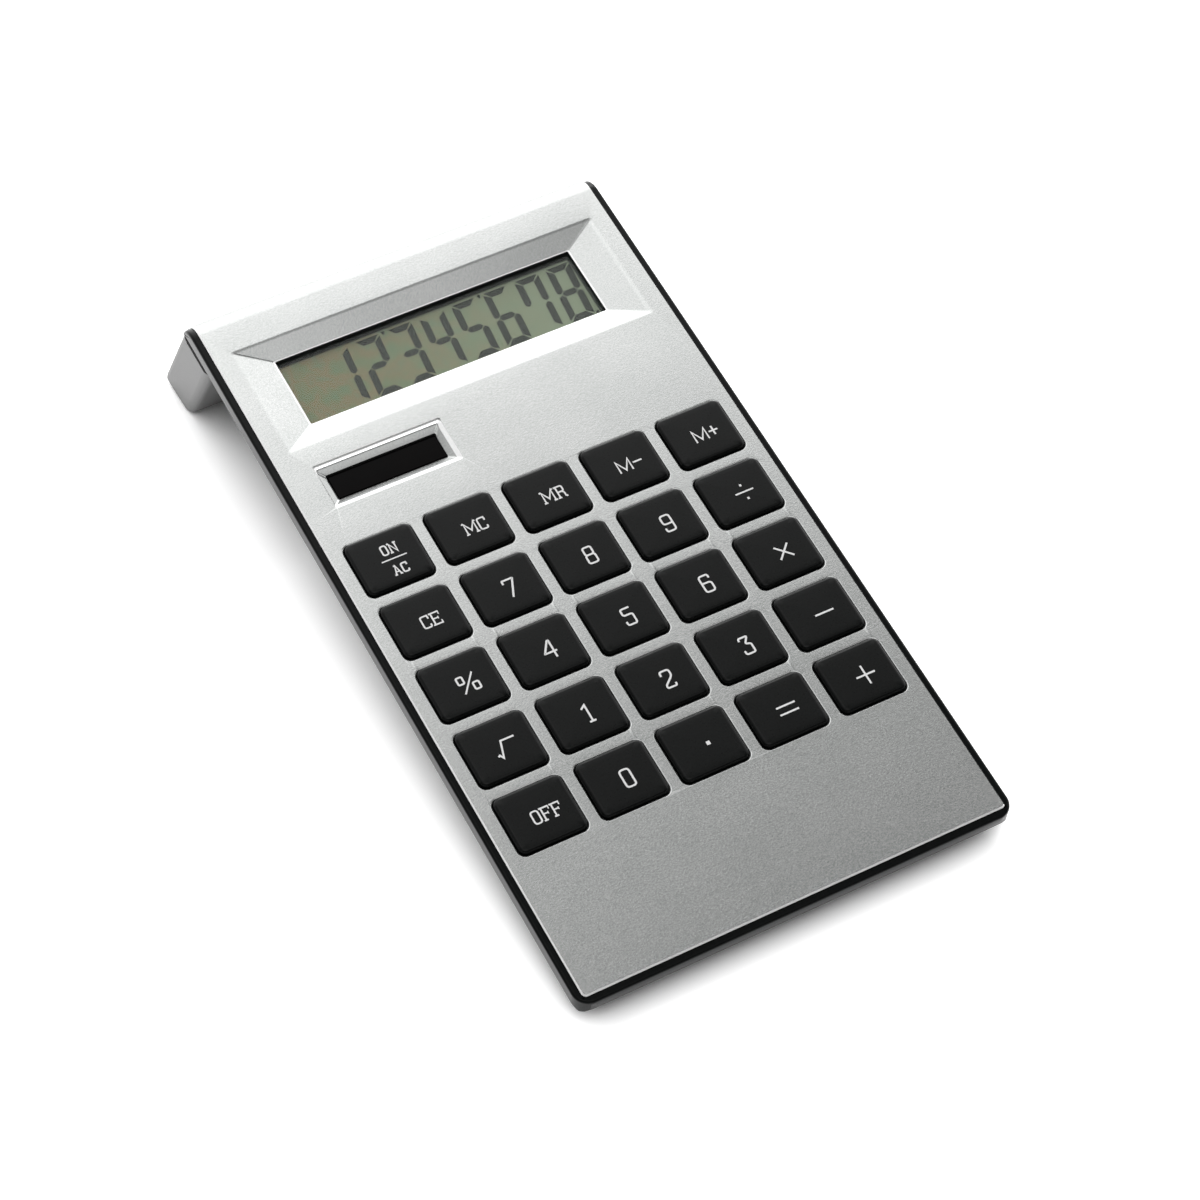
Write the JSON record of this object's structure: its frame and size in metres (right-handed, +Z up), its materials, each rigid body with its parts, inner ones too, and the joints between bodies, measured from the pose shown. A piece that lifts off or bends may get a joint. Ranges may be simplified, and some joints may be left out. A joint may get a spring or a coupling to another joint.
{
  "type": "desk calculator",
  "caption": "Sloping desk calculator with a silver panel, black soft keys, an eight-digit display, a solar window and a leaning rear foot.",
  "frame": {"origin": "on the table, below the middle of the whole object's box", "axes": "+X to the user's right, +Y away from the user towards the foot, +Z up; the panel slopes up 8 degrees towards +Y"},
  "size_m": [0.1, 0.2012, 0.0334],
  "materials": {
    "silver_paint": "silver metallic paint on moulded plastic, fine sparkle",
    "black_gloss": "glossy black moulded plastic",
    "black_matte": "plain black moulded plastic or resin",
    "clear_plastic": "clear polished plastic",
    "smoked_plastic": "dark smoked plastic, polished",
    "display_film": "grey-green polarising film",
    "display_glass": "thin clear glass",
    "ribbon_film": "amber flexible film with printed carbon tracks",
    "solar_glass": "dark brown coated glass",
    "foam": "black foam",
    "keypad_rubber": "translucent grey silicone rubber",
    "carbon_rubber": "matte conductive rubber",
    "board_laminate": "green solder mask on glass laminate",
    "capacitor_can": "aluminium can in a blue sleeve",
    "led_resin": "red tinted epoxy",
    "ceramic_chip": "fired ceramic with tinned ends",
    "screw_steel": "zinc-plated steel",
    "cell_steel": "nickel-plated steel",
    "contact_brass": "sprung brass strip",
    "red_insulation": "red PVC over stranded copper",
    "black_insulation": "black PVC over stranded copper",
    "foot_rubber": "soft dark rubber",
    "key_rubber": "matte black soft-touch plastic with a white printed sign"
  },
  "bodies": {
    "case": {"front_panel": "silver_paint", "rear_casing": "black_gloss", "rear_foot": "silver_paint", "display_window": "clear_plastic", "front_polariser": "display_film", "front_glass": "display_glass", "rear_glass": "display_glass", "reflector": "display_film", "display_holder": "black_matte", "display_ribbon": "ribbon_film", "solar_window": "smoked_plastic", "solar_cell": "solar_glass", "solar_pad": "foam", "keypad_mat": "keypad_rubber", "contact_pills": "carbon_rubber", "main_board": "board_laminate", "chip_blob": "black_matte", "filter_capacitor": "capacitor_can", "clamp_led": "led_resin", "chip_capacitors": "ceramic_chip", "board_screws": "screw_steel", "case_screws": "screw_steel", "foot_screws": "screw_steel", "button_cell": "cell_steel", "positive_contact": "contact_brass", "negative_contact": "contact_brass", "battery_lead_red": "red_insulation", "battery_lead_black": "black_insulation", "solar_lead_red": "red_insulation", "solar_lead_black": "black_insulation", "front_rubber_feet": "foot_rubber", "rear_rubber_feet": "foot_rubber"},
    "battery_cover": {"battery_cover": "black_gloss"},
    "key_on_ac": {"key_on_ac": "key_rubber"},
    "key_mc": {"key_mc": "key_rubber"},
    "key_mr": {"key_mr": "key_rubber"},
    "key_m_minus": {"key_m_minus": "key_rubber"},
    "key_m_plus": {"key_m_plus": "key_rubber"},
    "key_ce": {"key_ce": "key_rubber"},
    "key_7": {"key_7": "key_rubber"},
    "key_8": {"key_8": "key_rubber"},
    "key_9": {"key_9": "key_rubber"},
    "key_divide": {"key_divide": "key_rubber"},
    "key_percent": {"key_percent": "key_rubber"},
    "key_4": {"key_4": "key_rubber"},
    "key_5": {"key_5": "key_rubber"},
    "key_6": {"key_6": "key_rubber"},
    "key_multiply": {"key_multiply": "key_rubber"},
    "key_root": {"key_root": "key_rubber"},
    "key_1": {"key_1": "key_rubber"},
    "key_2": {"key_2": "key_rubber"},
    "key_3": {"key_3": "key_rubber"},
    "key_minus": {"key_minus": "key_rubber"},
    "key_off": {"key_off": "key_rubber"},
    "key_0": {"key_0": "key_rubber"},
    "key_point": {"key_point": "key_rubber"},
    "key_equals": {"key_equals": "key_rubber"},
    "key_plus": {"key_plus": "key_rubber"}
  },
  "joints": [
    {"name": "key_on_ac_press", "type": "slide", "parent": "case", "child": "key_on_ac", "axis": [0, 0.1392, -0.9903], "range_m": [0, 0.0012], "stiffness_N_per_m": 400, "springref_m": -0.0004, "deforming": ["keypad_mat"]},
    {"name": "key_mc_press", "type": "slide", "parent": "case", "child": "key_mc", "axis": [0, 0.1392, -0.9903], "range_m": [0, 0.0012], "stiffness_N_per_m": 400, "springref_m": -0.0004, "deforming": ["keypad_mat"]},
    {"name": "key_mr_press", "type": "slide", "parent": "case", "child": "key_mr", "axis": [0, 0.1392, -0.9903], "range_m": [0, 0.0012], "stiffness_N_per_m": 400, "springref_m": -0.0004, "deforming": ["keypad_mat"]},
    {"name": "key_m_minus_press", "type": "slide", "parent": "case", "child": "key_m_minus", "axis": [0, 0.1392, -0.9903], "range_m": [0, 0.0012], "stiffness_N_per_m": 400, "springref_m": -0.0004, "deforming": ["keypad_mat"]},
    {"name": "key_m_plus_press", "type": "slide", "parent": "case", "child": "key_m_plus", "axis": [0, 0.1392, -0.9903], "range_m": [0, 0.0012], "stiffness_N_per_m": 400, "springref_m": -0.0004, "deforming": ["keypad_mat"]},
    {"name": "key_ce_press", "type": "slide", "parent": "case", "child": "key_ce", "axis": [0, 0.1392, -0.9903], "range_m": [0, 0.0012], "stiffness_N_per_m": 400, "springref_m": -0.0004, "deforming": ["keypad_mat"]},
    {"name": "key_7_press", "type": "slide", "parent": "case", "child": "key_7", "axis": [0, 0.1392, -0.9903], "range_m": [0, 0.0012], "stiffness_N_per_m": 400, "springref_m": -0.0004, "deforming": ["keypad_mat"]},
    {"name": "key_8_press", "type": "slide", "parent": "case", "child": "key_8", "axis": [0, 0.1392, -0.9903], "range_m": [0, 0.0012], "stiffness_N_per_m": 400, "springref_m": -0.0004, "deforming": ["keypad_mat"]},
    {"name": "key_9_press", "type": "slide", "parent": "case", "child": "key_9", "axis": [0, 0.1392, -0.9903], "range_m": [0, 0.0012], "stiffness_N_per_m": 400, "springref_m": -0.0004, "deforming": ["keypad_mat"]},
    {"name": "key_divide_press", "type": "slide", "parent": "case", "child": "key_divide", "axis": [0, 0.1392, -0.9903], "range_m": [0, 0.0012], "stiffness_N_per_m": 400, "springref_m": -0.0004, "deforming": ["keypad_mat"]},
    {"name": "key_percent_press", "type": "slide", "parent": "case", "child": "key_percent", "axis": [0, 0.1392, -0.9903], "range_m": [0, 0.0012], "stiffness_N_per_m": 400, "springref_m": -0.0004, "deforming": ["keypad_mat"]},
    {"name": "key_4_press", "type": "slide", "parent": "case", "child": "key_4", "axis": [0, 0.1392, -0.9903], "range_m": [0, 0.0012], "stiffness_N_per_m": 400, "springref_m": -0.0004, "deforming": ["keypad_mat"]},
    {"name": "key_5_press", "type": "slide", "parent": "case", "child": "key_5", "axis": [0, 0.1392, -0.9903], "range_m": [0, 0.0012], "stiffness_N_per_m": 400, "springref_m": -0.0004, "deforming": ["keypad_mat"]},
    {"name": "key_6_press", "type": "slide", "parent": "case", "child": "key_6", "axis": [0, 0.1392, -0.9903], "range_m": [0, 0.0012], "stiffness_N_per_m": 400, "springref_m": -0.0004, "deforming": ["keypad_mat"]},
    {"name": "key_multiply_press", "type": "slide", "parent": "case", "child": "key_multiply", "axis": [0, 0.1392, -0.9903], "range_m": [0, 0.0012], "stiffness_N_per_m": 400, "springref_m": -0.0004, "deforming": ["keypad_mat"]},
    {"name": "key_root_press", "type": "slide", "parent": "case", "child": "key_root", "axis": [0, 0.1392, -0.9903], "range_m": [0, 0.0012], "stiffness_N_per_m": 400, "springref_m": -0.0004, "deforming": ["keypad_mat"]},
    {"name": "key_1_press", "type": "slide", "parent": "case", "child": "key_1", "axis": [0, 0.1392, -0.9903], "range_m": [0, 0.0012], "stiffness_N_per_m": 400, "springref_m": -0.0004, "deforming": ["keypad_mat"]},
    {"name": "key_2_press", "type": "slide", "parent": "case", "child": "key_2", "axis": [0, 0.1392, -0.9903], "range_m": [0, 0.0012], "stiffness_N_per_m": 400, "springref_m": -0.0004, "deforming": ["keypad_mat"]},
    {"name": "key_3_press", "type": "slide", "parent": "case", "child": "key_3", "axis": [0, 0.1392, -0.9903], "range_m": [0, 0.0012], "stiffness_N_per_m": 400, "springref_m": -0.0004, "deforming": ["keypad_mat"]},
    {"name": "key_minus_press", "type": "slide", "parent": "case", "child": "key_minus", "axis": [0, 0.1392, -0.9903], "range_m": [0, 0.0012], "stiffness_N_per_m": 400, "springref_m": -0.0004, "deforming": ["keypad_mat"]},
    {"name": "key_off_press", "type": "slide", "parent": "case", "child": "key_off", "axis": [0, 0.1392, -0.9903], "range_m": [0, 0.0012], "stiffness_N_per_m": 400, "springref_m": -0.0004, "deforming": ["keypad_mat"]},
    {"name": "key_0_press", "type": "slide", "parent": "case", "child": "key_0", "axis": [0, 0.1392, -0.9903], "range_m": [0, 0.0012], "stiffness_N_per_m": 400, "springref_m": -0.0004, "deforming": ["keypad_mat"]},
    {"name": "key_point_press", "type": "slide", "parent": "case", "child": "key_point", "axis": [0, 0.1392, -0.9903], "range_m": [0, 0.0012], "stiffness_N_per_m": 400, "springref_m": -0.0004, "deforming": ["keypad_mat"]},
    {"name": "key_equals_press", "type": "slide", "parent": "case", "child": "key_equals", "axis": [0, 0.1392, -0.9903], "range_m": [0, 0.0012], "stiffness_N_per_m": 400, "springref_m": -0.0004, "deforming": ["keypad_mat"]},
    {"name": "key_plus_press", "type": "slide", "parent": "case", "child": "key_plus", "axis": [0, 0.1392, -0.9903], "range_m": [0, 0.0012], "stiffness_N_per_m": 400, "springref_m": -0.0004, "deforming": ["keypad_mat"]},
    {"name": "battery_cover_turn", "type": "hinge", "parent": "case", "child": "battery_cover", "pos_m": [0, -0.08011, 0.0021], "axis": [0, -0.1392, 0.9903], "range_deg": [0, 40]}
  ]
}
